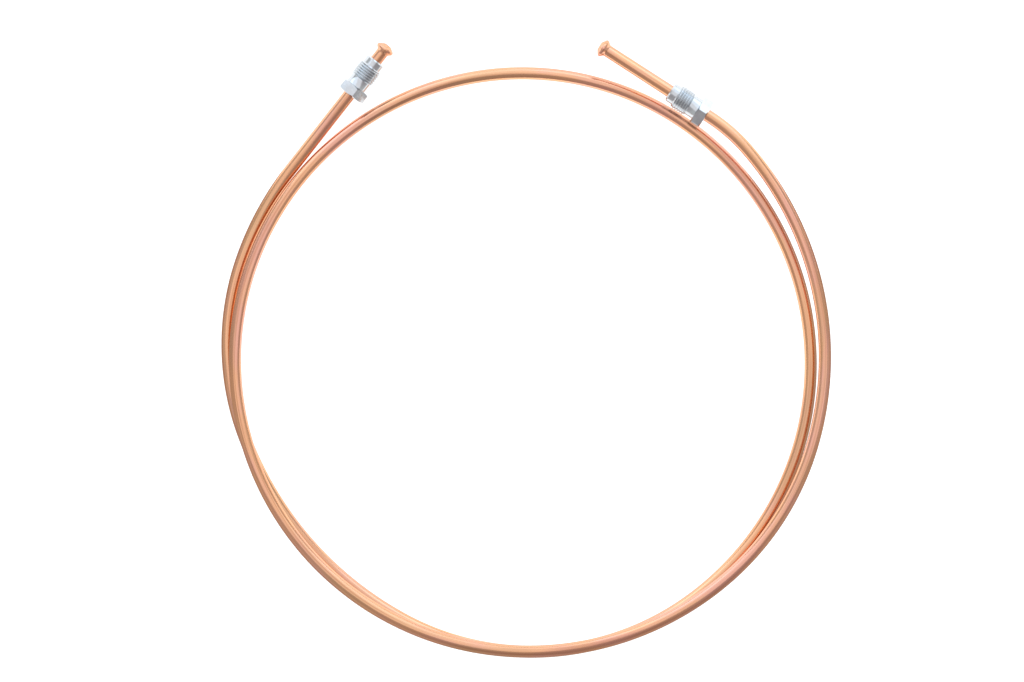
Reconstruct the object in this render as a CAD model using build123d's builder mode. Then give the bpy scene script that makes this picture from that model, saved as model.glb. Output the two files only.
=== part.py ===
from build123d import *
from math import asin, atan, cos, degrees, radians, sin, tan
import os

# Coiled copper pressure line: one drawn tube, flared at both ends, with a captive tube nut
# on each straight end. Sizes are in mm, +Z is up and the coil lies on the floor at Z = 0.

# Tube
TUBE_OD = 4.75
WALL = 0.9
BORE_R = TUBE_OD / 2 - WALL

# Coil, lying flat in almost two turns with the second turn on the first
COIL_R = 110.0
CENTRE_X, CENTRE_Y = -0.4, -4.9
REST_GAP = 0.3
LAYER = TUBE_OD + REST_GAP
FLOOR_Z = TUBE_OD / 2

# Foot of the left end, where the tube leaves the floor: how far outside the coil's radius it
# is, how far along its own heading, and that heading
FOOT_OUT = 5.5
FOOT_AHEAD = -1.8
FOOT_HEADING = 251.3

# Left end: a bend that leans up off the floor, then the straight that carries the nut
LEFT_BEND_WIDER = 5.0
LEFT_BEND_ANGLE = 20.0
LEFT_LEAN = 13.0
LEFT_STRAIGHT = 60.5

# The hand-wound turns aren't quite round. Each bend in order from the foot is given as how much
# wider than the coil its radius is, and the angle that it turns.
FIRST_WIDER = (-10.5, 22.5, -6.5, 2.0, -0.5)
FIRST_ANGLES = (38.5, 41.5, 65.0, 103.5, 32.0)
CLIMB_ANGLE = 52.5
CLIMB_AND_LEVEL_ANGLE = 175.0
SECOND_WIDER = (1.5, 6.0, -3.5, 10.5)
SECOND_ANGLES = (CLIMB_AND_LEVEL_ANGLE - 2 * CLIMB_ANGLE, 53.5, 33.0, 40.0)
RISE_WIDER = (10.5, -41.5)
RISE_ANGLES = (18.0, 16.0)
RISE_LEAN = 2.8
RIGHT_STRAIGHT = 50.0

# Bubble flare, the same on both ends of the tube
FLARE_R = 3.55
FLARE_MIDDLE = 1.75
FLARE_ROUND = WALL
FRONT_CONE = 57.5
BACK_CONE = 45.0
THROAT_ROUND = 1.0

# Tube nut, M10 x 1 with an 11 mm hexagon, from its nose to the hexagon's back. The steps are
# how far the pilot and the neck lie below the outside of the thread.
BORE_GAP = 0.08
PILOT_STEP, PILOT_LENGTH = 1.1, 3.0
THREAD_R, THREAD_LENGTH = 5.0, 6.1
NECK_STEP, NECK_LENGTH = 0.8, 3.3
HEX_FLATS, HEX_LENGTH = 11.0, 4.1
NOSE_CHAMFER = 0.5
THREAD_CHAMFER = 0.6
BORE_CHAMFER = 0.6
CROWN_ANGLE = 30.0

# Where each nut has slid to, from the flare's tip to its nose, and how far it is turned
LEFT_NUT_AT, LEFT_NUT_TURN = 7.2, -14.0
RIGHT_NUT_AT, RIGHT_NUT_TURN = 32.1, 0.0

UP = Vector(0, 0, 1)


def roll(vector, axis_direction, angle):
    """Turns a vector about a direction by an angle in degrees."""
    return vector.rotate(Axis((0, 0, 0), tuple(axis_direction)), angle)


def carry(here, heading, normal, radius, angle):
    """Carries a point and its heading round a bend; a negative angle goes back along it."""
    centre = here + normal.cross(heading) * radius
    return centre + roll(here - centre, normal, angle), roll(heading, normal, angle)


# The climb leans the plane of the bend up, leans it the other way halfway and levels off
climb_rise = 2 * COIL_R * (1 - cos(radians(CLIMB_ANGLE)))
climb_lean = degrees(asin(LAYER / climb_rise))
half_lean = degrees(atan(tan(radians(climb_lean)) * cos(radians(CLIMB_ANGLE))))


def stretch(wider, angles, lean=0.0):
    """A row of bends in one plane, as (radius, angle, lean), with the lean before the first."""
    leans = (lean, *(0.0 for _ in angles[1:]))
    return [(COIL_R + more, angle, turn) for more, angle, turn in zip(wider, angles, leans)]


bends = stretch(FIRST_WIDER, FIRST_ANGLES)
bends += stretch((0.0,), (CLIMB_ANGLE,), climb_lean)
bends += stretch((0.0,), (CLIMB_ANGLE,), -2 * half_lean)
bends += stretch(SECOND_WIDER, SECOND_ANGLES, climb_lean)
bends += stretch(RISE_WIDER, RISE_ANGLES, RISE_LEAN)

# The foot, and back from it to the left tip
foot_heading = roll(Vector(1, 0, 0), UP, FOOT_HEADING)
foot = Vector(CENTRE_X, CENTRE_Y, FLOOR_Z) + foot_heading * FOOT_AHEAD
foot += foot_heading.cross(UP) * (COIL_R + FOOT_OUT)
lean_normal = roll(UP, foot_heading, LEFT_LEAN)
left_bend_r = COIL_R + LEFT_BEND_WIDER
left_root, left_heading = carry(foot, foot_heading, lean_normal, left_bend_r, -LEFT_BEND_ANGLE)
left_tip = left_root - left_heading * LEFT_STRAIGHT

# Length of the flare along the tube, from the tip to where the plain tube begins
front, back = radians(FRONT_CONE), radians(BACK_CONE)
rim_r = FLARE_R - FLARE_ROUND
mouth_r = rim_r - (FLARE_MIDDLE * sin(front) - FLARE_ROUND) / cos(front)
front_edge = (rim_r + FLARE_ROUND * cos(front), FLARE_MIDDLE - FLARE_ROUND * sin(front))
back_edge = (rim_r + FLARE_ROUND * cos(back), FLARE_MIDDLE + FLARE_ROUND * sin(back))
throat_end = back_edge[1] + (back_edge[0] - TUBE_OD / 2) / tan(back)
throat_run = THROAT_ROUND * tan(back / 2)
flare_length = throat_end + throat_run

# Centreline of the plain tube, from the left flare to the right one
with BuildLine() as route:
    Line(left_tip + left_heading * flare_length, left_root)
    TangentArc(left_root, foot, tangent=left_heading)
    here, heading, normal = foot, foot_heading, UP
    for radius, angle, lean in bends:
        normal = roll(normal, heading, lean)
        bend_end, next_heading = carry(here, heading, normal, radius, angle)
        TangentArc(here, bend_end, tangent=heading)
        here, heading = bend_end, next_heading
    right_tip = here + heading * RIGHT_STRAIGHT
    Line(here, right_tip - heading * flare_length)


def seat(point, inward, turn):
    """Plane across the tube at a point, facing along it, with its x direction turned from up."""
    upright = (UP - inward * inward.dot(UP)).normalized()
    return Plane(origin=point, x_dir=roll(upright, inward, turn), z_dir=inward)


def through_axis(across):
    """Plane that holds the tube's axis: x is the radius and y runs along the tube."""
    return Plane(origin=across.origin, x_dir=across.x_dir, z_dir=-across.y_dir)


left_end = seat(left_tip, left_heading, 0)
right_end = seat(right_tip, -heading, 0)

with BuildPart() as copper_tube:
    with BuildSketch(seat(route.line @ 0, left_heading, 0)):
        Circle(TUBE_OD / 2)
        Circle(BORE_R, mode=Mode.SUBTRACT)
    sweep(path=route.line)
    # Bubble flares: the wall folds out and back in, so the inside follows the outside
    for end in (left_end, right_end):
        with BuildSketch(through_axis(end)):
            with BuildLine():
                Polyline((BORE_R, flare_length), (BORE_R, FLARE_MIDDLE + rim_r - BORE_R),
                         (rim_r, FLARE_MIDDLE))
                Polyline((rim_r, FLARE_MIDDLE),
                         (BORE_R, FLARE_MIDDLE - (rim_r - BORE_R) / tan(front)), (BORE_R, 0),
                         (mouth_r, 0), front_edge)
                ThreePointArc(front_edge, (FLARE_R, FLARE_MIDDLE), back_edge)
                throat_start = (TUBE_OD / 2 + throat_run * sin(back), throat_end - throat_run * cos(back))
                Line(back_edge, throat_start)
                TangentArc(throat_start, (TUBE_OD / 2, flare_length), tangent=(-sin(back), cos(back)))
                Line((TUBE_OD / 2, flare_length), (BORE_R, flare_length))
            make_face()
        revolve(axis=Axis(end.origin, end.z_dir))


def tube_nut(across):
    """One tube nut: pilot, threaded length, neck and hexagon, bored to slide on the tube."""
    thread_at = PILOT_LENGTH
    neck_at = thread_at + THREAD_LENGTH
    hex_at = neck_at + NECK_LENGTH
    length = hex_at + HEX_LENGTH
    pilot_r = THREAD_R - PILOT_STEP
    neck_r = THREAD_R - NECK_STEP
    bore_r = TUBE_OD / 2 + BORE_GAP
    corner_r = HEX_FLATS / 2 / cos(radians(30))
    axis = Axis(across.origin, across.z_dir)
    with BuildPart() as nut:
        with BuildSketch(through_axis(across)):
            with BuildLine():
                Polyline((0, 0), (pilot_r - NOSE_CHAMFER, 0), (pilot_r, NOSE_CHAMFER),
                         (pilot_r, thread_at), (THREAD_R - THREAD_CHAMFER, thread_at),
                         (THREAD_R, thread_at + THREAD_CHAMFER),
                         (THREAD_R, neck_at - THREAD_CHAMFER),
                         (THREAD_R - THREAD_CHAMFER, neck_at), (neck_r, neck_at),
                         (neck_r, hex_at), (0, hex_at), (0, 0))
            make_face()
        revolve(axis=axis)
        with BuildSketch(across.offset(hex_at)):
            RegularPolygon(radius=corner_r, side_count=6)
        extrude(amount=HEX_LENGTH)
        # Crowns: both ends of the hexagon are turned back to a circle at the flats
        crown = (corner_r - HEX_FLATS / 2) * tan(radians(CROWN_ANGLE))
        with BuildSketch(through_axis(across)):
            for edge, step in ((hex_at, crown), (length, -crown)):
                with BuildLine():
                    Polyline((HEX_FLATS / 2, edge), (corner_r, edge + step),
                             (corner_r + crown, edge + step), (corner_r + crown, edge),
                             (HEX_FLATS / 2, edge))
                make_face()
        revolve(axis=axis, mode=Mode.SUBTRACT)
        with BuildSketch(through_axis(across)):
            with BuildLine():
                Polyline((0, 0), (bore_r + BORE_CHAMFER, 0), (bore_r, BORE_CHAMFER),
                         (bore_r, length - BORE_CHAMFER), (bore_r + BORE_CHAMFER, length),
                         (0, length), (0, 0))
            make_face()
        revolve(axis=axis, mode=Mode.SUBTRACT)
    return nut.part


left_seat = seat(left_tip + left_heading * LEFT_NUT_AT, left_heading, LEFT_NUT_TURN)
right_seat = seat(right_tip - heading * RIGHT_NUT_AT, -heading, RIGHT_NUT_TURN)

with BuildPart() as tube_nut_left:
    add(tube_nut(left_seat))

with BuildPart() as tube_nut_right:
    add(tube_nut(right_seat))

os.makedirs("parts", exist_ok=True)
for label, piece in (("copper_tube", copper_tube), ("tube_nut_left", tube_nut_left),
                     ("tube_nut_right", tube_nut_right)):
    piece.part.label = label
    export_step(piece.part, f"parts/{label}.step")
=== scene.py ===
"""Looks for a coiled copper pressure line: a drawn copper tube with two zinc-plated tube nuts."""

import logging
from collections.abc import Callable
from dataclasses import dataclass, field
from enum import Enum, IntEnum
from math import asin, atan, ceil, cos, degrees, pi, radians, sin, tan

import bmesh
import bpy
import numpy as np
from mathutils import Matrix, Vector


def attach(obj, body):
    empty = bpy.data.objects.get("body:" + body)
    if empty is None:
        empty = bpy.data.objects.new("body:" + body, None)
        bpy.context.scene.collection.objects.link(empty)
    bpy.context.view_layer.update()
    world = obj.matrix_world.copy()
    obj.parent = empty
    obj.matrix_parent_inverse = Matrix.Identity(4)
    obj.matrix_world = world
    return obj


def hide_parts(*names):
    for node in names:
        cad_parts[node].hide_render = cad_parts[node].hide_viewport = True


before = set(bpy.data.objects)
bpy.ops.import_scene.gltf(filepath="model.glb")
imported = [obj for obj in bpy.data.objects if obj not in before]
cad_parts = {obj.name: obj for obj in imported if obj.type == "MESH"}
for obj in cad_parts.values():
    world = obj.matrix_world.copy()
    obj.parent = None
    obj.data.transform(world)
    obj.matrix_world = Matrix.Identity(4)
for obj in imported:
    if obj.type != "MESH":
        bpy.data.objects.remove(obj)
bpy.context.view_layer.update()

log = logging.getLogger("pressure_line")

# Sizes of the object are in mm, and Blender works in metres
MM = 0.001
UP = Vector((0.0, 0.0, 1.0))

# Vertices nearer than this become one, on turned work and where lengths of tube meet
WELD = 0.002 * MM
SEAM_WELD = 0.01 * MM

# Edges that turn by more degrees than this stay sharp
NUT_SHARP = 30.0
TUBE_SHARP = 35.0

# How far each nut has slid in from its end of the tube, and how far it is turned
LEFT_NUT_AT, LEFT_NUT_TURN = 7.2, -14.0
RIGHT_NUT_AT, RIGHT_NUT_TURN = 32.1, 0.0


class Slot(Enum):
    """The record's material slots."""

    COPPER = "copper"
    ZINC = "zinc_plated_steel"


class Part(Enum):
    """Each piece of the object, as the CAD node that it stands for and the body it rides on."""

    TUBE = ("copper_tube", "tube")
    LEFT_NUT = ("tube_nut_left", "left_nut")
    RIGHT_NUT = ("tube_nut_right", "right_nut")

    def __init__(self, node: str, body: str) -> None:
        """Names the two halves of the value."""
        self.node = node
        self.body = body


class Joining(Enum):
    """What is left of two solids."""

    BOTH = "UNION"
    FIRST_LESS_SECOND = "DIFFERENCE"
    COMMON = "INTERSECT"


class Mix(IntEnum):
    """A Mix node's colour sockets, which share their names with others, by index."""

    FACTOR = 0
    FIRST = 6
    SECOND = 7
    RESULT = 2


# Directions and places


def roll(vector: Vector, direction: Vector, angle: float) -> Vector:
    """Turns a vector about a direction by an angle in degrees."""
    return Matrix.Rotation(radians(angle), 3, direction) @ vector


def upward(axis: Vector) -> Vector:
    """The direction across an axis that is nearest to up."""
    return (UP - axis * axis.dot(UP)).normalized()


def carry(here: Vector, way: Vector, normal: Vector, radius: float,
          angle: float) -> tuple[Vector, Vector, Vector]:
    """Carries a point and its heading round a bend.

    Args:
        here: Where the bend starts.
        way: The heading there.
        normal: The axis that the bend turns about.
        radius: The bend's radius, in the unit of the point.
        angle: How far it turns, in degrees; a negative one goes back along it.

    Returns:
        The bend's centre, and the point and heading at its end.
    """
    middle = here + normal.cross(way) * radius
    return middle, middle + roll(here - middle, normal, angle), roll(way, normal, angle)


@dataclass(frozen=True)
class Seat:
    """A point on the tube's axis, the way inward from it, and a direction across it."""

    origin: Vector
    axis: Vector
    across: Vector

    def at(self, radius: float, along: float) -> Vector:
        """The point that far out and along."""
        return self.origin + self.across * radius + self.axis * along

    def slid(self, along: float, turn: float = 0.0) -> "Seat":
        """The same seat further along and turned by degrees."""
        return Seat(self.origin + self.axis * along, self.axis, roll(self.across, self.axis, turn))

    def upright(self) -> "Seat":
        """The same seat with its across direction turned up."""
        return Seat(self.origin, self.axis, upward(self.axis))

    def turn(self) -> Matrix:
        """The turn that takes X to the across direction and Z to the axis."""
        return Matrix((self.across, self.axis.cross(self.across), self.axis)).transposed()


# Mesh work


def start_mesh(name: str, add: Callable[..., set[str]], **placed: object) -> bpy.types.Object:
    """Adds a primitive with nothing else selected and opens it in edit mode.

    Args:
        name: The new object's name.
        add: The operator that adds the primitive.
        placed: The primitive's size and place.

    Returns:
        The new object, in edit mode.
    """
    if bpy.context.object and bpy.context.object.mode == "EDIT":
        bpy.ops.object.mode_set(mode="OBJECT")
    bpy.ops.object.select_all(action="DESELECT")
    add(**placed)
    piece = bpy.context.object
    piece.name = piece.data.name = name
    bpy.ops.object.mode_set(mode="EDIT")
    bpy.ops.mesh.select_mode(type="VERT")
    return piece


def select(piece: bpy.types.Object, wanted: Callable[[bmesh.types.BMVert], bool]) -> None:
    """Selects the vertices that a test picks, and nothing else.

    Args:
        piece: An object in edit mode.
        wanted: Says of a vertex whether to select it.
    """
    shape = bmesh.from_edit_mesh(piece.data)
    for element in (*shape.verts, *shape.edges, *shape.faces):
        element.select = False
    for vertex in shape.verts:
        vertex.select = wanted(vertex)
    shape.select_flush(True)
    bmesh.update_edit_mesh(piece.data)


def extrude(by: Vector) -> None:
    """Extrudes the selection and moves the new part."""
    bpy.ops.mesh.extrude_region_move(TRANSFORM_OT_translate={"value": tuple(by)})


def finish_mesh(piece: bpy.types.Object, merge: float, sharp: float) -> None:
    """Merges doubles, turns the faces outward, leaves edit mode and smooths.

    Args:
        piece: An object in edit mode.
        merge: Distance under which vertices become one, in metres.
        sharp: Edges that turn by more degrees than this stay sharp.
    """
    bpy.ops.mesh.select_all(action="SELECT")
    bpy.ops.mesh.remove_doubles(threshold=merge)
    bpy.ops.mesh.normals_make_consistent(inside=False)
    bpy.ops.object.mode_set(mode="OBJECT")
    bpy.ops.object.transform_apply(location=True, rotation=True, scale=True)
    bpy.ops.object.shade_smooth_by_angle(angle=radians(sharp))


def lathe(name: str, outline: list[tuple[float, float]], seat: Seat, sides: int) -> bpy.types.Object:
    """Turns an outline about a seat's axis, as on a lathe.

    Args:
        name: The new object's name.
        outline: Points (radius, distance along the axis), in metres.
        seat: Where the outline starts, the way it runs and the direction of its radius.
        sides: Facets round the axis.

    Returns:
        The turned object, in edit mode, with its doubles merged.
    """
    here = seat.at(*outline[0])
    piece = start_mesh(name, bpy.ops.mesh.primitive_plane_add, size=MM, location=here)
    bpy.ops.mesh.merge(type="CENTER")
    for point in outline[1:]:
        there = seat.at(*point)
        extrude(there - here)
        here = there
    bpy.ops.mesh.select_all(action="SELECT")
    bpy.ops.mesh.spin(steps=sides, angle=2 * pi, center=seat.origin, axis=seat.axis)
    bpy.ops.mesh.select_all(action="SELECT")
    bpy.ops.mesh.remove_doubles(threshold=WELD)
    return piece


def combine(piece: bpy.types.Object, tool: bpy.types.Object, joining: Joining) -> bpy.types.Object:
    """Makes one solid of two and removes the second.

    Args:
        piece: The solid that is kept.
        tool: The solid that it is joined to, cut by or limited to.
        joining: What is left of the two.

    Returns:
        The kept solid, active and selected.
    """
    bpy.ops.object.select_all(action="DESELECT")
    piece.select_set(True)
    bpy.context.view_layer.objects.active = piece
    modifier = piece.modifiers.new("Joining", "BOOLEAN")
    modifier.operation, modifier.solver, modifier.object = joining.value, "EXACT", tool
    bpy.ops.object.modifier_apply(modifier=modifier.name)
    bpy.data.objects.remove(tool)
    return piece


# Materials and bodies


def linear(hex_colour: str) -> tuple[float, float, float, float]:
    """Turns an sRGB hex colour into linear light.

    Args:
        hex_colour: Six hex digits after a hash sign.

    Returns:
        Red, green, blue and alpha, linear.
    """
    parts = [int(hex_colour[i:i + 2], 16) / 255 for i in (1, 3, 5)]
    return (*(c / 12.92 if c <= 0.04045 else ((c + 0.055) / 1.055) ** 2.4 for c in parts), 1.0)


def add_node(tree: bpy.types.NodeTree, kind: str, inputs: dict[str | int, object] | None = None,
             **settings: object) -> bpy.types.Node:
    """Adds a node with its settings, values and links.

    Args:
        tree: The node tree that gets the node.
        kind: The node's type name.
        inputs: For each input, by name or index, a value or the output socket to link from.
        settings: Properties of the node itself.

    Returns:
        The new node.
    """
    node = tree.nodes.new(kind)
    for name, value in settings.items():
        setattr(node, name, value)
    for key, value in (inputs or {}).items():
        if isinstance(value, bpy.types.NodeSocket):
            tree.links.new(value, node.inputs[key])
        else:
            node.inputs[key].default_value = value
    return node


def new_material(name: str) -> tuple[bpy.types.Material, bpy.types.Node]:
    """Makes an empty node material.

    Args:
        name: The material's name.

    Returns:
        The material and its Principled shader, already linked to the output.
    """
    material = bpy.data.materials.new(name)
    material.use_nodes = True
    tree = material.node_tree
    tree.nodes.clear()
    shader = add_node(tree, "ShaderNodeBsdfPrincipled")
    add_node(tree, "ShaderNodeOutputMaterial", {"Surface": shader.outputs["BSDF"]})
    return material, shader


def dress(piece: bpy.types.Object, material: bpy.types.Material, part: Part, slot: Slot) -> None:
    """Gives a finished piece its material and body, hides the CAD node that it stands for and logs
    its slot.

    Args:
        piece: The piece, in place.
        material: Its material.
        part: The CAD node that it stands for and the body that it rides on.
        slot: The record's slot of its finish.
    """
    piece.data.materials.clear()
    piece.data.materials.append(material)
    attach(piece, part.body)
    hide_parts(part.node)
    log.info("%s: %d faces, rides on %s, finish %s", piece.name, len(piece.data.polygons),
             part.body, slot.value)


# The tube's route


@dataclass(frozen=True)
class Run:
    """One straight or bend of the tube, in metres; a straight has no centre."""

    start: Vector
    heading: Vector
    across: Vector
    length: float
    begins: float
    centre: Vector | None = None
    normal: Vector | None = None
    angle: float = 0.0

    def unwind(self, points: np.ndarray) -> tuple[np.ndarray, np.ndarray]:
        """Finds where points near this run were before the tube was wound.

        Args:
            points: The points, one a row.

        Returns:
            For each point its place on the straight drawn tube, whose z runs along it from the
            left tip, and its distance from this run's centreline.
        """
        start, heading, across = (np.array(v) for v in (self.start, self.heading, self.across))
        side = np.cross(heading, across)
        if self.centre is None:
            along = np.clip((points - start) @ heading, 0, self.length)
            offset = points - start - along[:, None] * heading
            straight = offset
        else:
            centre, normal = np.array(self.centre), np.array(self.normal)
            out = start - centre
            radius = np.linalg.norm(out)
            out /= radius
            ahead = np.cross(normal, out)
            flat = points - centre
            height = flat @ normal
            turn = np.clip(np.arctan2(flat @ ahead, flat @ out), 0, radians(self.angle))
            along = turn * radius
            spot = centre + radius * (np.cos(turn)[:, None] * out + np.sin(turn)[:, None] * ahead)
            offset = points - spot
            further = flat @ out * np.cos(turn) + flat @ ahead * np.sin(turn) - radius
            straight = further[:, None] * out + height[:, None] * normal
        drawn = np.stack([straight @ across, straight @ side, self.begins + along], axis=1)
        return drawn, np.linalg.norm(offset, axis=1)


@dataclass(frozen=True)
class Route:
    """The tube's centreline, wound as in the CAD part. Sizes are in mm and angles in degrees.

    A bend's radius is given as how much wider than the coil it is.
    """

    tube_od: float = 4.75
    coil_r: float = 110.0
    centre: tuple[float, float] = (-0.4, -4.9)
    rest_gap: float = 0.3
    foot_out: float = 5.5
    foot_ahead: float = -1.8
    foot_heading: float = 251.3
    left_bend_wider: float = 5.0
    left_bend_angle: float = 20.0
    left_lean: float = 13.0
    left_straight: float = 60.5
    first_wider: tuple[float, ...] = (-10.5, 22.5, -6.5, 2.0, -0.5)
    first_angles: tuple[float, ...] = (38.5, 41.5, 65.0, 103.5, 32.0)
    climb_angle: float = 52.5
    climb_and_level: float = 175.0
    second_wider: tuple[float, ...] = (1.5, 6.0, -3.5, 10.5)
    second_angles: tuple[float, ...] = (53.5, 33.0, 40.0)
    rise_wider: tuple[float, ...] = (10.5, -41.5)
    rise_angles: tuple[float, ...] = (18.0, 16.0)
    rise_lean: float = 2.8
    right_straight: float = 50.0

    def bends(self) -> list[tuple[float, float, float]]:
        """The bends from the left end's foot on, with the climb to the second turn.

        Returns:
            For each bend its radius in mm, its angle, and the lean before it.
        """
        climb = 2 * self.coil_r * (1 - cos(radians(self.climb_angle)))
        lean = degrees(asin((self.tube_od + self.rest_gap) / climb))
        half_lean = degrees(atan(tan(radians(lean)) * cos(radians(self.climb_angle))))
        level_angle = self.climb_and_level - 2 * self.climb_angle
        rows = ((self.first_wider, self.first_angles, 0.0),
                ((0.0,), (self.climb_angle,), lean),
                ((0.0,), (self.climb_angle,), -2 * half_lean),
                (self.second_wider, (level_angle, *self.second_angles), lean),
                (self.rise_wider, self.rise_angles, self.rise_lean))
        return [(self.coil_r + wider, angle, row_lean if i == 0 else 0.0)
                for widths, angles, row_lean in rows
                for i, (wider, angle) in enumerate(zip(widths, angles))]

    def runs(self) -> list[Run]:
        """Every straight and bend from tip to tip, with an across direction that never twists.

        Returns:
            The runs in order.
        """
        foot_way = roll(Vector((1, 0, 0)), UP, self.foot_heading)
        foot = Vector((*self.centre, self.tube_od / 2)) + foot_way * self.foot_ahead
        foot += foot_way.cross(UP) * (self.coil_r + self.foot_out)

        # The left bend, which ends at the foot, and all that follow it, with their normals
        plan = [(self.coil_r + self.left_bend_wider, self.left_bend_angle,
                 roll(UP, foot_way, self.left_lean))]
        normal, way = UP, foot_way
        for radius, angle, lean in self.bends():
            normal = roll(normal, way, lean)
            plan.append((radius, angle, normal))
            way = roll(way, normal, angle)

        # Back from the foot to the left straight, and then on through every bend
        radius, angle, normal = plan[0]
        _, here, way = carry(foot, foot_way, normal, radius, -angle)
        across = upward(way)
        begins = self.left_straight * MM
        runs = [Run((here - way * self.left_straight) * MM, way, across, begins, 0.0)]
        for radius, angle, normal in plan:
            middle, there, next_way = carry(here, way, normal, radius, angle)
            length = radius * radians(angle) * MM
            runs.append(Run(here * MM, way, across, length, begins, middle * MM, normal, angle))
            here, way, across = there, next_way, roll(across, normal, angle)
            begins += length
        runs.append(Run(here * MM, way, across, self.right_straight * MM, begins))
        return runs


@dataclass(frozen=True)
class Flare:
    """A bubble flare: the wall folds out and back in over a rounded rim. In mm and degrees."""

    tube_r: float = 2.375
    bore_r: float = 1.475
    rim: float = 3.55
    middle: float = 1.75
    fold: float = 0.9
    front: float = 57.5
    back: float = 45.0
    throat: float = 1.0
    lip_edge: float = 0.03
    fold_steps: int = 10
    throat_steps: int = 5

    def outline(self) -> list[tuple[float, float]]:
        """The wall's section from the plain tube's outside, round the mouth, to its bore.

        Returns:
            Points (radius, distance from the tip), in metres.
        """
        front, back = radians(self.front), radians(self.back)
        rim_r = self.rim - self.fold
        mouth_r = rim_r - (self.middle * sin(front) - self.fold) / cos(front)
        edge_r = rim_r + self.fold * cos(back)
        edge_at = self.middle + self.fold * sin(back)
        throat_end = edge_at + (edge_r - self.tube_r) / tan(back) + self.throat * tan(back / 2)
        points = []
        for i in range(self.throat_steps + 1):
            turn = back * i / self.throat_steps
            points.append((self.tube_r + self.throat * (1 - cos(turn)),
                           throat_end - self.throat * sin(turn)))
        for i in range(self.fold_steps + 1):
            turn = back - (back + front) * i / self.fold_steps
            points.append((rim_r + self.fold * cos(turn), self.middle + self.fold * sin(turn)))
        edge = self.lip_edge
        points += [(mouth_r + edge * cos(front), edge * sin(front)), (mouth_r - edge / 2, 0.0),
                   (self.bore_r + edge, 0.0), (self.bore_r, edge)]
        fold_depth = rim_r - self.bore_r
        points += [(self.bore_r, self.middle - fold_depth / tan(front)), (rim_r, self.middle),
                   (self.bore_r, self.middle + fold_depth), (self.bore_r, throat_end)]
        return [(r * MM, u * MM) for r, u in points]

    def length(self) -> float:
        """Distance from the tip to the plain tube, in metres."""
        return self.outline()[0][1]


# Finishes


@dataclass(frozen=True)
class Grain:
    """A noise of marks drawn out along the tube; run is a mark's width over its length."""

    width_mm: float
    run: float
    detail: float
    shift: float

    def value(self, tree: bpy.types.NodeTree, place: bpy.types.NodeSocket) -> bpy.types.NodeSocket:
        """Adds the noise.

        Args:
            tree: The node tree.
            place: The place on the straight drawn tube, as a vector whose z runs along it.

        Returns:
            The noise's value, from 0 to 1.
        """
        scale = 1 / (self.width_mm * MM)
        drawn_out = add_node(tree, "ShaderNodeMapping", {
            "Vector": place, "Location": (self.shift, self.shift, self.shift),
            "Scale": (scale, scale, scale * self.run)})
        noise = add_node(tree, "ShaderNodeTexNoise", {
            "Vector": drawn_out.outputs["Vector"], "Scale": 1.0, "Detail": self.detail,
            "Roughness": 0.55})
        return noise.outputs["Fac"]


@dataclass(frozen=True)
class Film:
    """A colour over part of the metal: it comes in as its noise goes from low to high."""

    colour: str
    low: float
    high: float
    most: float = 1.0


@dataclass(frozen=True)
class DrawnCopper:
    """Bright copper tube as it leaves the drawing die, not lacquered."""

    # Clean copper is orange. Handling leaves pinker patches and dull olive ones, a few cm long,
    # and the die's lines hold a brown film. At a glancing angle the metal is nearly white.
    orange: str = "#F3B88E"
    pink: Film = Film("#EEB19A", 0.44, 0.60)
    olive: Film = Film("#DDAF86", 0.50, 0.68, 0.75)
    brown: Film = Film("#BD7F5B", 0.46, 0.66, 0.55)
    glancing: str = "#F4ECE8"

    # The die's lines run lengthwise and break up the reflections. Real ones are under 0.1 mm
    # wide, finer than a pixel, so they are drawn two pixels wide.
    lines: Grain = Grain(0.8, 0.012, 3.0, 0.0)
    pink_patches: Grain = Grain(7.0, 0.22, 4.0, 7.3)
    olive_patches: Grain = Grain(7.0, 0.132, 4.0, 31.7)

    # Winding by hand leaves shallow dents, which make the reflections waver. All heights are in
    # mm, and the roughness goes from its first to its second value over the lines' noise.
    dents: Grain = Grain(3.0, 0.12, 1.0, 13.9)
    dent_mm: float = 0.03
    line_mm: float = 0.02
    line_strength: float = 0.6
    roughness: tuple[float, float] = (0.15, 0.28)
    rough_lines: tuple[float, float] = (0.35, 0.65)

    def material(self) -> bpy.types.Material:
        """Builds the material; its patterns read the tube's own `drawn` attribute.

        Returns:
            The material.
        """
        material, shader = new_material("Drawn_copper")
        tree = material.node_tree
        place = add_node(tree, "ShaderNodeAttribute", attribute_name="drawn").outputs["Vector"]
        lines = self.lines.value(tree, place)
        colour: tuple[float, ...] | bpy.types.NodeSocket = linear(self.orange)
        for film, noise in ((self.pink, self.pink_patches.value(tree, place)),
                            (self.olive, self.olive_patches.value(tree, place)),
                            (self.brown, lines)):
            share = add_node(tree, "ShaderNodeMapRange", {
                "Value": noise, "From Min": film.low, "From Max": film.high, "To Max": film.most})
            colour = add_node(tree, "ShaderNodeMix", {
                Mix.FACTOR: share.outputs["Result"], Mix.FIRST: colour,
                Mix.SECOND: linear(film.colour)}, data_type="RGBA").outputs[Mix.RESULT]
        rough = add_node(tree, "ShaderNodeMapRange", {
            "Value": lines, "From Min": self.rough_lines[0], "From Max": self.rough_lines[1],
            "To Min": self.roughness[0], "To Max": self.roughness[1]})
        dented = add_node(tree, "ShaderNodeBump", {
            "Height": self.dents.value(tree, place), "Strength": 1.0,
            "Distance": self.dent_mm * MM})
        lined = add_node(tree, "ShaderNodeBump", {
            "Height": lines, "Normal": dented.outputs["Normal"], "Strength": self.line_strength,
            "Distance": self.line_mm * MM})
        tree.links.new(colour, shader.inputs["Base Color"])
        tree.links.new(rough.outputs["Result"], shader.inputs["Roughness"])
        tree.links.new(lined.outputs["Normal"], shader.inputs["Normal"])
        shader.inputs["Metallic"].default_value = 1.0
        shader.inputs["Specular Tint"].default_value = linear(self.glancing)
        return material


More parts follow.
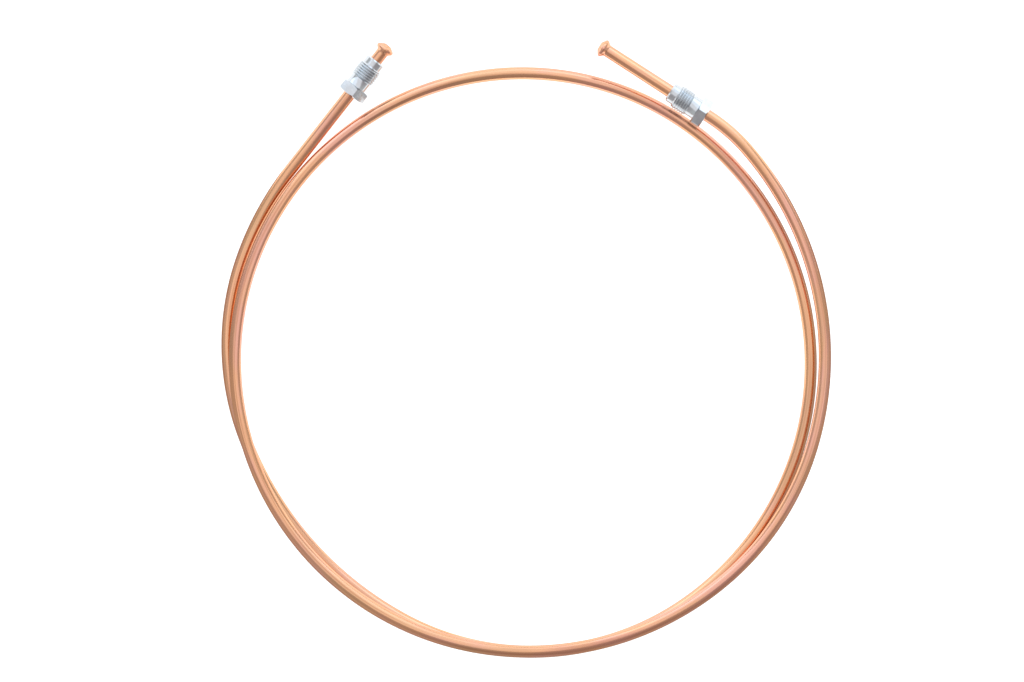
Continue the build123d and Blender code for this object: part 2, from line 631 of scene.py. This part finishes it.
@dataclass(frozen=True)
class ZincPlate:
    """Bright blue-clear zinc plating on turned steel."""

    name: str
    seat: Seat

    # The plating is a pale, slightly blue metal with duller clouds a few mm across
    plate: str = "#DFE4E8"
    dull: str = "#C2C6C8"
    cloud_mm: float = 2.5

    # The turning marks under it run round the nut. Real ones are finer than a pixel, under
    # 0.1 mm, so they are drawn as wide as they need to be to break up the reflections.
    mark_mm: float = 0.25
    mark_length_mm: float = 16.7
    mark_height_mm: float = 0.01
    mark_strength: float = 0.2
    roughness: tuple[float, float] = (0.10, 0.23)
    rough_marks: tuple[float, float] = (0.3, 0.7)

    def material(self) -> bpy.types.Material:
        """Builds the material; its turning marks are rings about the nut's own axis.

        Returns:
            The material.
        """
        material, shader = new_material(self.name)
        tree = material.node_tree
        place = add_node(tree, "ShaderNodeTexCoord")
        to_nut = self.seat.turn().transposed()
        centred = add_node(tree, "ShaderNodeMapping", {
            "Vector": place.outputs["Object"], "Location": -(to_nut @ self.seat.origin),
            "Rotation": to_nut.to_euler("XYZ")})
        long_way = 1 / (self.mark_length_mm * MM)
        rings = add_node(tree, "ShaderNodeMapping", {
            "Vector": centred.outputs["Vector"],
            "Scale": (long_way, long_way, 1 / (self.mark_mm * MM))})
        marks = add_node(tree, "ShaderNodeTexNoise", {
            "Vector": rings.outputs["Vector"], "Scale": 1.0, "Detail": 2.0})
        clouds = add_node(tree, "ShaderNodeTexNoise", {
            "Vector": centred.outputs["Vector"], "Scale": 1 / (self.cloud_mm * MM), "Detail": 3.0})
        colour = add_node(tree, "ShaderNodeMix", {
            Mix.FACTOR: clouds.outputs["Fac"], Mix.FIRST: linear(self.plate),
            Mix.SECOND: linear(self.dull)}, data_type="RGBA")
        rough = add_node(tree, "ShaderNodeMapRange", {
            "Value": marks.outputs["Fac"], "From Min": self.rough_marks[0],
            "From Max": self.rough_marks[1], "To Min": self.roughness[0],
            "To Max": self.roughness[1]})
        bump = add_node(tree, "ShaderNodeBump", {
            "Height": marks.outputs["Fac"], "Strength": self.mark_strength,
            "Distance": self.mark_height_mm * MM})
        tree.links.new(colour.outputs[Mix.RESULT], shader.inputs["Base Color"])
        tree.links.new(rough.outputs["Result"], shader.inputs["Roughness"])
        tree.links.new(bump.outputs["Normal"], shader.inputs["Normal"])
        shader.inputs["Metallic"].default_value = 1.0
        return material


# The pieces


@dataclass
class CopperTube:
    """The drawn tube: two bubble flares joined by the whole route, open from end to end."""

    route: Route = field(default_factory=Route)
    flare: Flare = field(default_factory=Flare)
    sides: int = 56
    bend_step: float = 1.5
    straight_step: float = 5.0

    def tips(self) -> tuple[Seat, Seat]:
        """The left and right tips of the tube, as seats that face along their straights.

        Returns:
            The two seats, with the across direction that the route carries.
        """
        first, *_, last = self.route.runs()
        end = last.start + last.heading * last.length
        return (Seat(first.start, first.heading, first.across),
                Seat(end, -last.heading, last.across))

    def build(self) -> bpy.types.Object:
        """Models the tube from the left flare to the right one.

        Returns:
            The tube's object, finished, at the origin.
        """
        left, right = self.tips()
        piece = lathe("Copper_tube", self.flare.outline(), left, self.sides)
        throat = left.at(0.0, self.flare.length())
        select(piece, lambda v: v.is_boundary
               and abs((v.co + piece.location - throat).dot(left.axis)) < WELD)
        runs = self.route.runs()
        for run in runs:
            self.follow(run)
        bpy.ops.object.mode_set(mode="OBJECT")
        other = lathe("Right_flare", self.flare.outline(), right, self.sides)
        bpy.ops.object.mode_set(mode="OBJECT")
        bpy.ops.object.select_all(action="DESELECT")
        other.select_set(True)
        piece.select_set(True)
        bpy.context.view_layer.objects.active = piece
        bpy.ops.object.join()
        bpy.ops.object.mode_set(mode="EDIT")
        finish_mesh(piece, SEAM_WELD, TUBE_SHARP)
        self.write_drawn(piece, runs)
        return piece

    def follow(self, run: Run) -> None:
        """Takes the selected rings along one run; a straight is shorter by its flare.

        Args:
            run: The straight or bend to follow.
        """
        if run.centre is None:
            length = run.length - self.flare.length()
            steps = ceil(length / (self.straight_step * MM))
            for _ in range(steps):
                extrude(run.heading * (length / steps))
        else:
            # With no window, spin turns the other way
            bpy.ops.mesh.spin(steps=ceil(run.angle / self.bend_step), angle=-radians(run.angle),
                              center=run.centre, axis=run.normal)

    def write_drawn(self, piece: bpy.types.Object, runs: list[Run]) -> None:
        """Writes where each vertex was on the straight drawn tube, before it was wound.

        Args:
            piece: The tube's object.
            runs: The tube's runs.
        """
        mesh = piece.data
        points = np.zeros(len(mesh.vertices) * 3)
        mesh.vertices.foreach_get("co", points)
        points = points.reshape(-1, 3)
        nearest = np.full(len(points), np.inf)
        drawn = np.zeros_like(points)
        for run in runs:
            place, away = run.unwind(points)
            nearer = away < nearest
            nearest[nearer] = away[nearer]
            drawn[nearer] = place[nearer]
        attribute = mesh.attributes.new("drawn", "FLOAT_VECTOR", "POINT")
        attribute.data.foreach_set("vector", drawn.ravel())

    def dress(self, piece: bpy.types.Object) -> None:
        """Gives the tube its copper."""
        dress(piece, DrawnCopper().material(), Part.TUBE, Slot.COPPER)


@dataclass
class TubeNut:
    """A captive tube nut, M10 x 1: pilot, thread, neck and crowned hexagon. In mm and degrees."""

    part: Part
    seat: Seat
    name: str
    bore_r: float = 2.455
    bore_chamfer: float = 0.6
    pilot_r: float = 3.9
    pilot: float = 3.0
    nose_chamfer: float = 0.5
    thread_r: float = 5.0
    thread: float = 6.1
    thread_chamfer: float = 0.6
    pitch: float = 1.0
    neck_r: float = 4.2
    neck: float = 3.3
    flats: float = 11.0
    hexagon: float = 4.1
    crown: float = 30.0
    crown_r: float = 5.4
    corner_round: float = 0.15
    corner_steps: int = 3
    edge: float = 0.07
    sides: int = 72

    # An ISO metric thread, as deep as this share of its pitch, with a rounded crest
    thread_angle: float = 60.0
    depth_in_pitches: float = 0.6134
    crest_round: float = 0.16
    crest_steps: int = 6

    # How far the body reaches into the hexagon and the ridge into the body, how far the ridge
    # stops short of its ends, and how far a cutting solid stands proud
    body_overlap: float = 1.0
    ridge_overlap: float = 0.08
    ridge_gap: float = 0.03
    spare: float = 0.3

    @property
    def neck_at(self) -> float:
        """Distance from the nose to the neck."""
        return self.pilot + self.thread

    @property
    def hex_at(self) -> float:
        """Distance from the nose to the hexagon."""
        return self.neck_at + self.neck

    @property
    def length(self) -> float:
        """Length over all."""
        return self.hex_at + self.hexagon

    @property
    def root_r(self) -> float:
        """Radius at the root of the thread."""
        return self.thread_r - self.depth_in_pitches * self.pitch

    @property
    def corner_r(self) -> float:
        """Radius of the hexagon's corners."""
        return self.flats / 2 / cos(radians(30))

    def turned(self, name: str, outline: list[tuple[float, float]]) -> bpy.types.Object:
        """Turns a closed solid about the nut's axis.

        Args:
            name: The new object's name.
            outline: Points (radius, distance from the nose) in mm, the ends on the axis.

        Returns:
            The solid, in object mode.
        """
        solid = lathe(name, [(r * MM, u * MM) for r, u in outline], self.seat, self.sides)
        finish_mesh(solid, WELD, NUT_SHARP)
        return solid

    def body(self) -> bpy.types.Object:
        """The turned body, from the nose to inside the hexagon.

        Returns:
            The body without its bore.
        """
        edge, inside = self.edge, self.hex_at + self.body_overlap
        return self.turned(self.name, [
            (0.0, 0.0), (self.pilot_r - self.nose_chamfer, 0.0), (self.pilot_r, self.nose_chamfer),
            (self.pilot_r, self.pilot - edge), (self.pilot_r + edge, self.pilot),
            (self.root_r, self.pilot), (self.root_r, self.neck_at), (self.neck_r, self.neck_at),
            (self.neck_r, self.hex_at - edge), (self.neck_r + edge, self.hex_at + edge),
            (self.neck_r, inside), (0.0, inside)])

    def ridge_section(self) -> list[tuple[float, float]]:
        """The section of the thread's ridge: two flanks under a round crest.

        Returns:
            Points (radius, distance along the axis) in mm, the ends inside the body.
        """
        base_r = self.root_r - self.ridge_overlap
        crest_r = self.thread_r - self.crest_round
        flank = radians(90 - self.thread_angle / 2)
        foot = self.crest_round * sin(flank) + tan(radians(self.thread_angle / 2)) * (
            crest_r + self.crest_round * cos(flank) - base_r)
        turns = [flank * (2 * i / self.crest_steps - 1) for i in range(self.crest_steps + 1)]
        crest = [(crest_r + self.crest_round * cos(turn), self.crest_round * sin(turn))
                 for turn in turns]
        return [(base_r, -foot), *crest, (base_r, foot)]

    def ridge(self) -> bpy.types.Object:
        """The thread's ridge, wound as a right-hand helix and turned down at both ends.

        Returns:
            The ridge, whose base lies inside the body.
        """
        start = self.seat.slid((self.pilot - self.pitch) * MM)
        ridge = start_mesh("Thread", bpy.ops.mesh.primitive_plane_add, size=MM,
                           location=start.origin, rotation=start.turn().to_euler())
        bpy.ops.mesh.merge(type="CENTER")
        corners = [start.at(r * MM, u * MM) for r, u in self.ridge_section()]
        bpy.ops.transform.translate(value=tuple(corners[0] - start.origin))
        for before, after in zip(corners, corners[1:]):
            extrude(after - before)
        bpy.ops.mesh.select_all(action="SELECT")
        bpy.ops.mesh.edge_face_add()
        bpy.ops.mesh.delete(type="ONLY_FACE")
        bpy.ops.object.mode_set(mode="OBJECT")
        helix = ridge.modifiers.new("Helix", "SCREW")
        helix.axis, helix.screw_offset = "Z", self.pitch * MM
        helix.iterations = ceil(self.thread / self.pitch) + 1
        helix.steps = helix.render_steps = self.sides
        bpy.ops.object.modifier_apply(modifier=helix.name)
        bpy.ops.object.mode_set(mode="EDIT")
        select(ridge, lambda v: v.is_boundary)
        bpy.ops.mesh.edge_face_add()
        finish_mesh(ridge, WELD, NUT_SHARP)
        low, high = self.pilot + self.ridge_gap, self.neck_at - self.ridge_gap
        chamfer_r = self.thread_r - self.thread_chamfer
        outer_r = self.thread_r + self.spare
        run = outer_r - chamfer_r
        ends = self.turned("Thread_ends", [
            (0.0, low), (chamfer_r, low), (outer_r, low + run), (outer_r, high - run),
            (chamfer_r, high), (0.0, high)])
        return combine(ridge, ends, Joining.COMMON)

    def head(self) -> bpy.types.Object:
        """The hexagon, its corners just rounded and both ends crowned.

        Returns:
            The hexagon without its bore.
        """
        # A cylinder's first corner is on its Y axis, which is turned to the seat's radius
        axis, across = self.seat.axis, self.seat.across
        turn = Matrix((across.cross(axis), across, axis)).transposed()
        head = start_mesh(
            "Hexagon", bpy.ops.mesh.primitive_cylinder_add, vertices=6,
            radius=self.corner_r * MM, depth=self.hexagon * MM,
            location=self.seat.at(0.0, (self.hex_at + self.hexagon / 2) * MM),
            rotation=turn.to_euler())
        bpy.ops.mesh.select_mode(type="EDGE")
        shape = bmesh.from_edit_mesh(head.data)
        for line in shape.edges:
            ends = [vertex.co.z > 0 for vertex in line.verts]
            line.select = ends[0] != ends[1]
        bmesh.update_edit_mesh(head.data)
        bpy.ops.mesh.bevel(offset=self.corner_round * MM, segments=self.corner_steps,
                           affect="EDGES")
        finish_mesh(head, WELD, NUT_SHARP)
        slope = tan(radians(self.crown))
        rise = self.spare * slope
        outer_r = self.corner_r + self.spare
        run = (outer_r - self.crown_r) * slope
        inner_r = self.crown_r - self.spare
        crown = self.turned("Crown", [
            (0.0, self.hex_at - rise), (inner_r, self.hex_at - rise), (outer_r, self.hex_at + run),
            (outer_r, self.length - run), (inner_r, self.length + rise), (0.0, self.length + rise)])
        return combine(head, crown, Joining.COMMON)

    def bore(self) -> bpy.types.Object:
        """The solid that bores the nut and chamfers both mouths.

        Returns:
            The cutting solid.
        """
        mouth_r = self.bore_r + self.bore_chamfer + self.spare
        return self.turned("Bore", [
            (0.0, -self.spare), (mouth_r, -self.spare), (self.bore_r, self.bore_chamfer),
            (self.bore_r, self.length - self.bore_chamfer), (mouth_r, self.length + self.spare),
            (0.0, self.length + self.spare)])

    def build(self) -> bpy.types.Object:
        """Models the nut: body, hexagon and thread made one, then bored.

        Returns:
            The nut's object, finished, at the origin.
        """
        nut = combine(self.body(), self.head(), Joining.BOTH)
        nut = combine(nut, self.ridge(), Joining.BOTH)
        nut = combine(nut, self.bore(), Joining.FIRST_LESS_SECOND)
        bpy.ops.object.mode_set(mode="EDIT")
        finish_mesh(nut, WELD, NUT_SHARP)
        return nut

    def dress(self, piece: bpy.types.Object) -> None:
        """Gives the nut its zinc plating."""
        zinc = ZincPlate(f"Zinc_plate_{self.part.body}", self.seat)
        dress(piece, zinc.material(), self.part, Slot.ZINC)


# The studio


@dataclass(frozen=True)
class SoftPanel:
    """A soft light that faces the coil, seen from it as a band of sky. Degrees and metres."""

    name: str
    zenith_from: float
    zenith_to: float
    width: float
    light: float
    tint: str
    distance: float = 1.6

    def hang(self) -> None:
        """Adds the panel; a positive angle from overhead is towards the top of the picture."""
        middle = radians((self.zenith_from + self.zenith_to) / 2)
        height = 2 * self.distance * tan(radians(self.zenith_to - self.zenith_from) / 2)
        place = Vector((0.0, sin(middle), cos(middle))) * self.distance
        bpy.ops.object.light_add(type="AREA", location=place, rotation=(-middle, 0, 0))
        panel = bpy.context.object
        panel.name = self.name
        panel.data.shape = "RECTANGLE"
        panel.data.size, panel.data.size_y = self.width, height
        panel.data.energy = self.light * pi * self.width * height
        panel.data.color = linear(self.tint)[:3]
        panel.visible_camera = False


@dataclass(frozen=True)
class LitSurface:
    """The finish of a studio surface that gives an even light of its own."""

    name: str
    light: str
    strength: float
    base: str
    roughness: float
    specular: float

    def material(self) -> bpy.types.Material:
        """Builds the material.

        Returns:
            The material.
        """
        material, shader = new_material(self.name)
        for socket, value in (("Emission Color", linear(self.light)),
                              ("Emission Strength", self.strength),
                              ("Base Color", linear(self.base)), ("Roughness", self.roughness),
                              ("Specular IOR Level", self.specular)):
            shader.inputs[socket].default_value = value
        return material


@dataclass
class Studio:
    """A bright white table under soft light that comes mostly from the top of the picture."""

    floor_size: float = 20.0
    table: LitSurface = LitSurface("White_light_table", "#FFFFFF", 1.12, "#9A9A9A", 0.9, 0.5)
    # The grey card is painted shade that only reflections show: a dim sheet over the floor outside
    # the coil
    card: LitSurface = LitSurface("Reflected_shade_card", "#FFF6F0", 0.5, "#000000", 0.5, 0.0)
    card_hole: float = 0.113
    card_centre: tuple[float, float] = (-0.0004, -0.0049)
    card_lift: float = 0.01 * MM
    card_top: float = 0.07
    card_sides: int = 96
    room_light: str = "#CBCBCB"
    room_dark: str = "#AEA7A9"

    # The dark side of the room: its angle from overhead towards the bottom of the picture, its
    # turn from there, and the angles about it at which it starts and is full
    dark_way: float = 57.0
    dark_turn: float = 10.0
    dark_edge: tuple[float, float] = (54.0, 26.0)
    panels: tuple[SoftPanel, ...] = (
        SoftPanel("Overhead_panel", -14.0, 20.0, 3.0, 0.42, "#FAF6FF"),
        SoftPanel("High_panel", 20.0, 48.0, 3.0, 0.74, "#E2EEFF"),
        SoftPanel("Low_panel", 48.0, 84.0, 3.2, 1.45, "#D6E9FF"))
    lens: float = 250.0
    sensor: float = 36.0
    view_width: float = 0.3922
    view_centre: tuple[float, float] = (-0.0054, 0.0033)
    coil_height: float = 0.005

    def build(self) -> None:
        """Adds all that stands round the coil, and the camera."""
        self.add_table()
        self.add_reflected_shade()
        self.add_room()
        self.add_camera()

    def add_table(self) -> None:
        """Adds the white table top, lit from below."""
        bpy.ops.object.select_all(action="DESELECT")
        bpy.ops.mesh.primitive_plane_add(size=self.floor_size, location=(0, 0, 0))
        table = bpy.context.object
        table.name = "Table"
        table.data.materials.append(self.table.material())

    def add_reflected_shade(self) -> None:
        """Adds a grey sheet round the coil, which only the metal's reflections see. It is painted
        shade in the reflections: the tube's outer edges reflect it as a dimmer floor than the camera
        sees.
        """
        card = start_mesh("Reflected_shade_card", bpy.ops.mesh.primitive_circle_add,
                          vertices=self.card_sides, radius=self.card_hole,
                          location=(*self.card_centre, self.card_lift))
        bpy.ops.mesh.select_all(action="SELECT")
        bpy.ops.mesh.extrude_region()
        wider = self.floor_size / 2 / self.card_hole
        bpy.ops.transform.resize(value=(wider, wider, 1.0))
        bpy.ops.mesh.select_all(action="SELECT")
        bpy.ops.mesh.bisect(plane_co=(0, self.card_top, 0), plane_no=(0, 1, 0), clear_outer=True)
        finish_mesh(card, SEAM_WELD, NUT_SHARP)
        card.data.materials.append(self.card.material())
        card.visible_camera = card.visible_diffuse = card.visible_shadow = False

    def add_room(self) -> None:
        """Adds the soft panels and the pale room, darker towards the bottom of the picture."""
        world = bpy.data.worlds.new("Pale_room")
        bpy.context.scene.world = world
        world.use_nodes = True
        tree = world.node_tree
        way = add_node(tree, "ShaderNodeTexCoord")
        dark = roll(roll(UP, Vector((1, 0, 0)), self.dark_way), UP, self.dark_turn)
        towards = add_node(tree, "ShaderNodeVectorMath", {
            0: way.outputs["Generated"], 1: tuple(dark)}, operation="DOT_PRODUCT")
        starts, full = (cos(radians(angle)) for angle in self.dark_edge)
        shade = add_node(tree, "ShaderNodeMapRange", {
            "Value": towards.outputs["Value"], "From Min": starts, "From Max": full},
            interpolation_type="SMOOTHSTEP")
        colour = add_node(tree, "ShaderNodeMix", {
            Mix.FACTOR: shade.outputs["Result"], Mix.FIRST: linear(self.room_light),
            Mix.SECOND: linear(self.room_dark)}, data_type="RGBA")
        tree.links.new(colour.outputs[Mix.RESULT], tree.nodes["Background"].inputs["Color"])
        for panel in self.panels:
            panel.hang()

    def add_camera(self) -> None:
        """Adds the camera, straight above the coil and far enough away to see it flat."""
        height = self.view_width * self.lens / self.sensor + self.coil_height
        bpy.ops.object.camera_add(location=(*self.view_centre, height), rotation=(0, 0, 0))
        camera = bpy.context.object
        camera.data.lens = self.lens
        camera.data.sensor_width = self.sensor
        bpy.context.scene.camera = camera


def main() -> None:
    """Builds and dresses every piece, then the studio."""
    logging.basicConfig(level=logging.INFO, format="%(name)s: %(message)s")
    bpy.context.scene.view_settings.view_transform = "Standard"
    tube = CopperTube()
    tube.dress(tube.build())
    left, right = (tip.upright() for tip in tube.tips())
    nuts = (
        TubeNut(Part.LEFT_NUT, left.slid(LEFT_NUT_AT * MM, LEFT_NUT_TURN), "Tube_nut_left"),
        TubeNut(Part.RIGHT_NUT, right.slid(RIGHT_NUT_AT * MM, RIGHT_NUT_TURN), "Tube_nut_right"))
    for nut in nuts:
        nut.dress(nut.build())
    Studio().build()


if __name__ == "__main__":
    main()
